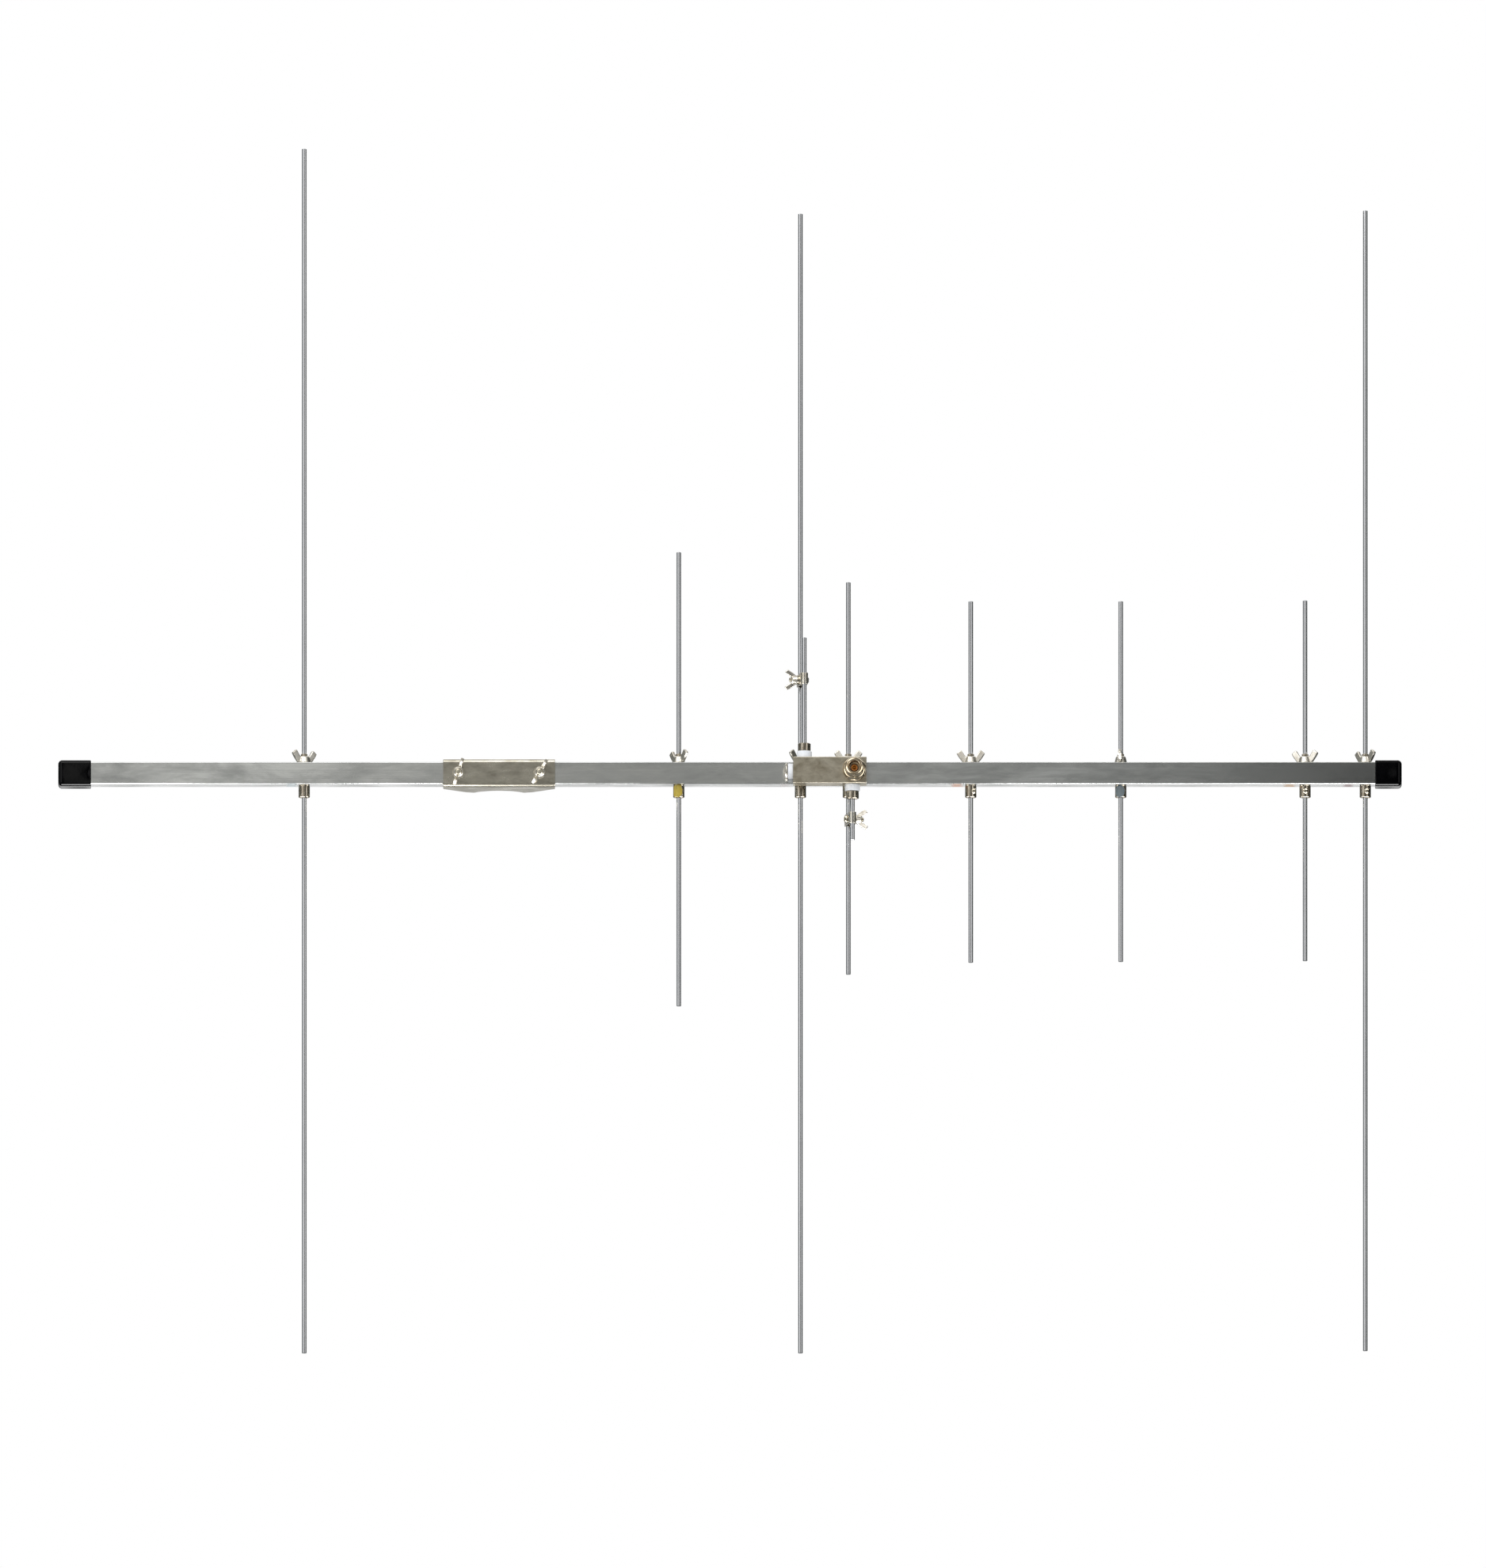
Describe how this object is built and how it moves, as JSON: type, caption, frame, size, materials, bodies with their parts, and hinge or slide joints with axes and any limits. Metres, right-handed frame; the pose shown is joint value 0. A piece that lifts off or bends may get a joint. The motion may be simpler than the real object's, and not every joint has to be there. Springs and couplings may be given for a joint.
{
  "type": "dual band yagi antenna",
  "caption": "Directional antenna for two bands: thin rods clamped through a square boom, with a feed box, coaxial socket, matching rods and a mast clamp.",
  "frame": {"origin": "on the axis of the mast that the clamp grips, at the height of the boom's axis", "axes": "+X along the boom towards its nose, the direction the antenna beams in; +Y backwards, away from the feed box and socket; +Z along the rods and the mast"},
  "size_m": [1.1534, 0.1203, 1.045],
  "materials": {
    "boom_tube": "drawn tube, satin, with faint lines along it",
    "end_cap_vinyl": "dipped soft vinyl, glossy black",
    "rod_steel": "ground and polished round rod",
    "plated_turned": "turned and nickel plated",
    "plated_wing_nut": "pressed and nickel plated",
    "plated_screw": "nickel plated",
    "plated_sheet": "folded sheet, dull nickel plate",
    "box_sheet": "folded sheet, dull nickel plate",
    "plated_bolt": "bent round bar, nickel plated",
    "white_insulator": "turned white fluoroplastic",
    "plated_socket": "turned and bright nickel plated",
    "gilt_contact": "gold plated",
    "brass_strip": "bare sheared strip",
    "capacitor_body": "dipped ceramic capacitor"
  },
  "bodies": {
    "root": {"boom": "boom_tube", "bush_director_2m": "plated_turned", "bush_director_70cm_first": "plated_turned", "bush_director_70cm_second": "plated_turned", "bush_director_70cm_third": "plated_turned", "bush_driven_2m": "plated_turned", "bush_driven_70cm": "plated_turned", "bush_reflector_2m": "plated_turned", "bush_reflector_70cm": "plated_turned", "end_cap_nose": "end_cap_vinyl", "end_cap_tail": "end_cap_vinyl", "feed_box_back": "box_sheet", "feed_box_screws": "plated_screw", "feed_box_tray": "box_sheet", "feed_strip": "brass_strip", "mast_bracket": "plated_sheet", "mast_wing_nut_left": "plated_wing_nut", "mast_wing_nut_right": "plated_wing_nut", "match_collar_2m": "plated_turned", "match_collar_70cm": "plated_turned", "match_insulator_2m": "white_insulator", "match_insulator_70cm": "white_insulator", "match_rod_2m": "rod_steel", "match_rod_70cm": "rod_steel", "pinch_screws": "plated_screw", "rod_director_2m": "rod_steel", "rod_director_70cm_first": "rod_steel", "rod_director_70cm_second": "rod_steel", "rod_director_70cm_third": "rod_steel", "rod_driven_2m": "rod_steel", "rod_driven_70cm": "rod_steel", "rod_reflector_2m": "rod_steel", "rod_reflector_70cm": "rod_steel", "series_capacitor_2m": "capacitor_body", "series_capacitor_70cm": "capacitor_body", "socket_contact": "gilt_contact", "socket_insert": "white_insulator", "socket_nut": "plated_socket", "socket_shell": "plated_socket", "strap_2m": "plated_sheet", "strap_70cm": "plated_sheet", "strap_screw_2m": "plated_screw", "strap_screw_70cm": "plated_screw", "strap_washer_2m": "plated_screw", "strap_washer_70cm": "plated_screw", "strap_wing_nut_2m": "plated_wing_nut", "strap_wing_nut_70cm": "plated_wing_nut", "terminal_bush": "white_insulator", "terminal_cap": "plated_turned", "u_bolt": "plated_bolt", "wing_nut_director_2m": "plated_wing_nut", "wing_nut_director_70cm_first": "plated_wing_nut", "wing_nut_director_70cm_second": "plated_wing_nut", "wing_nut_director_70cm_third": "plated_wing_nut", "wing_nut_driven_2m": "plated_wing_nut", "wing_nut_driven_70cm": "plated_wing_nut", "wing_nut_reflector_2m": "plated_wing_nut", "wing_nut_reflector_70cm": "plated_wing_nut"}
  },
  "joints": []
}
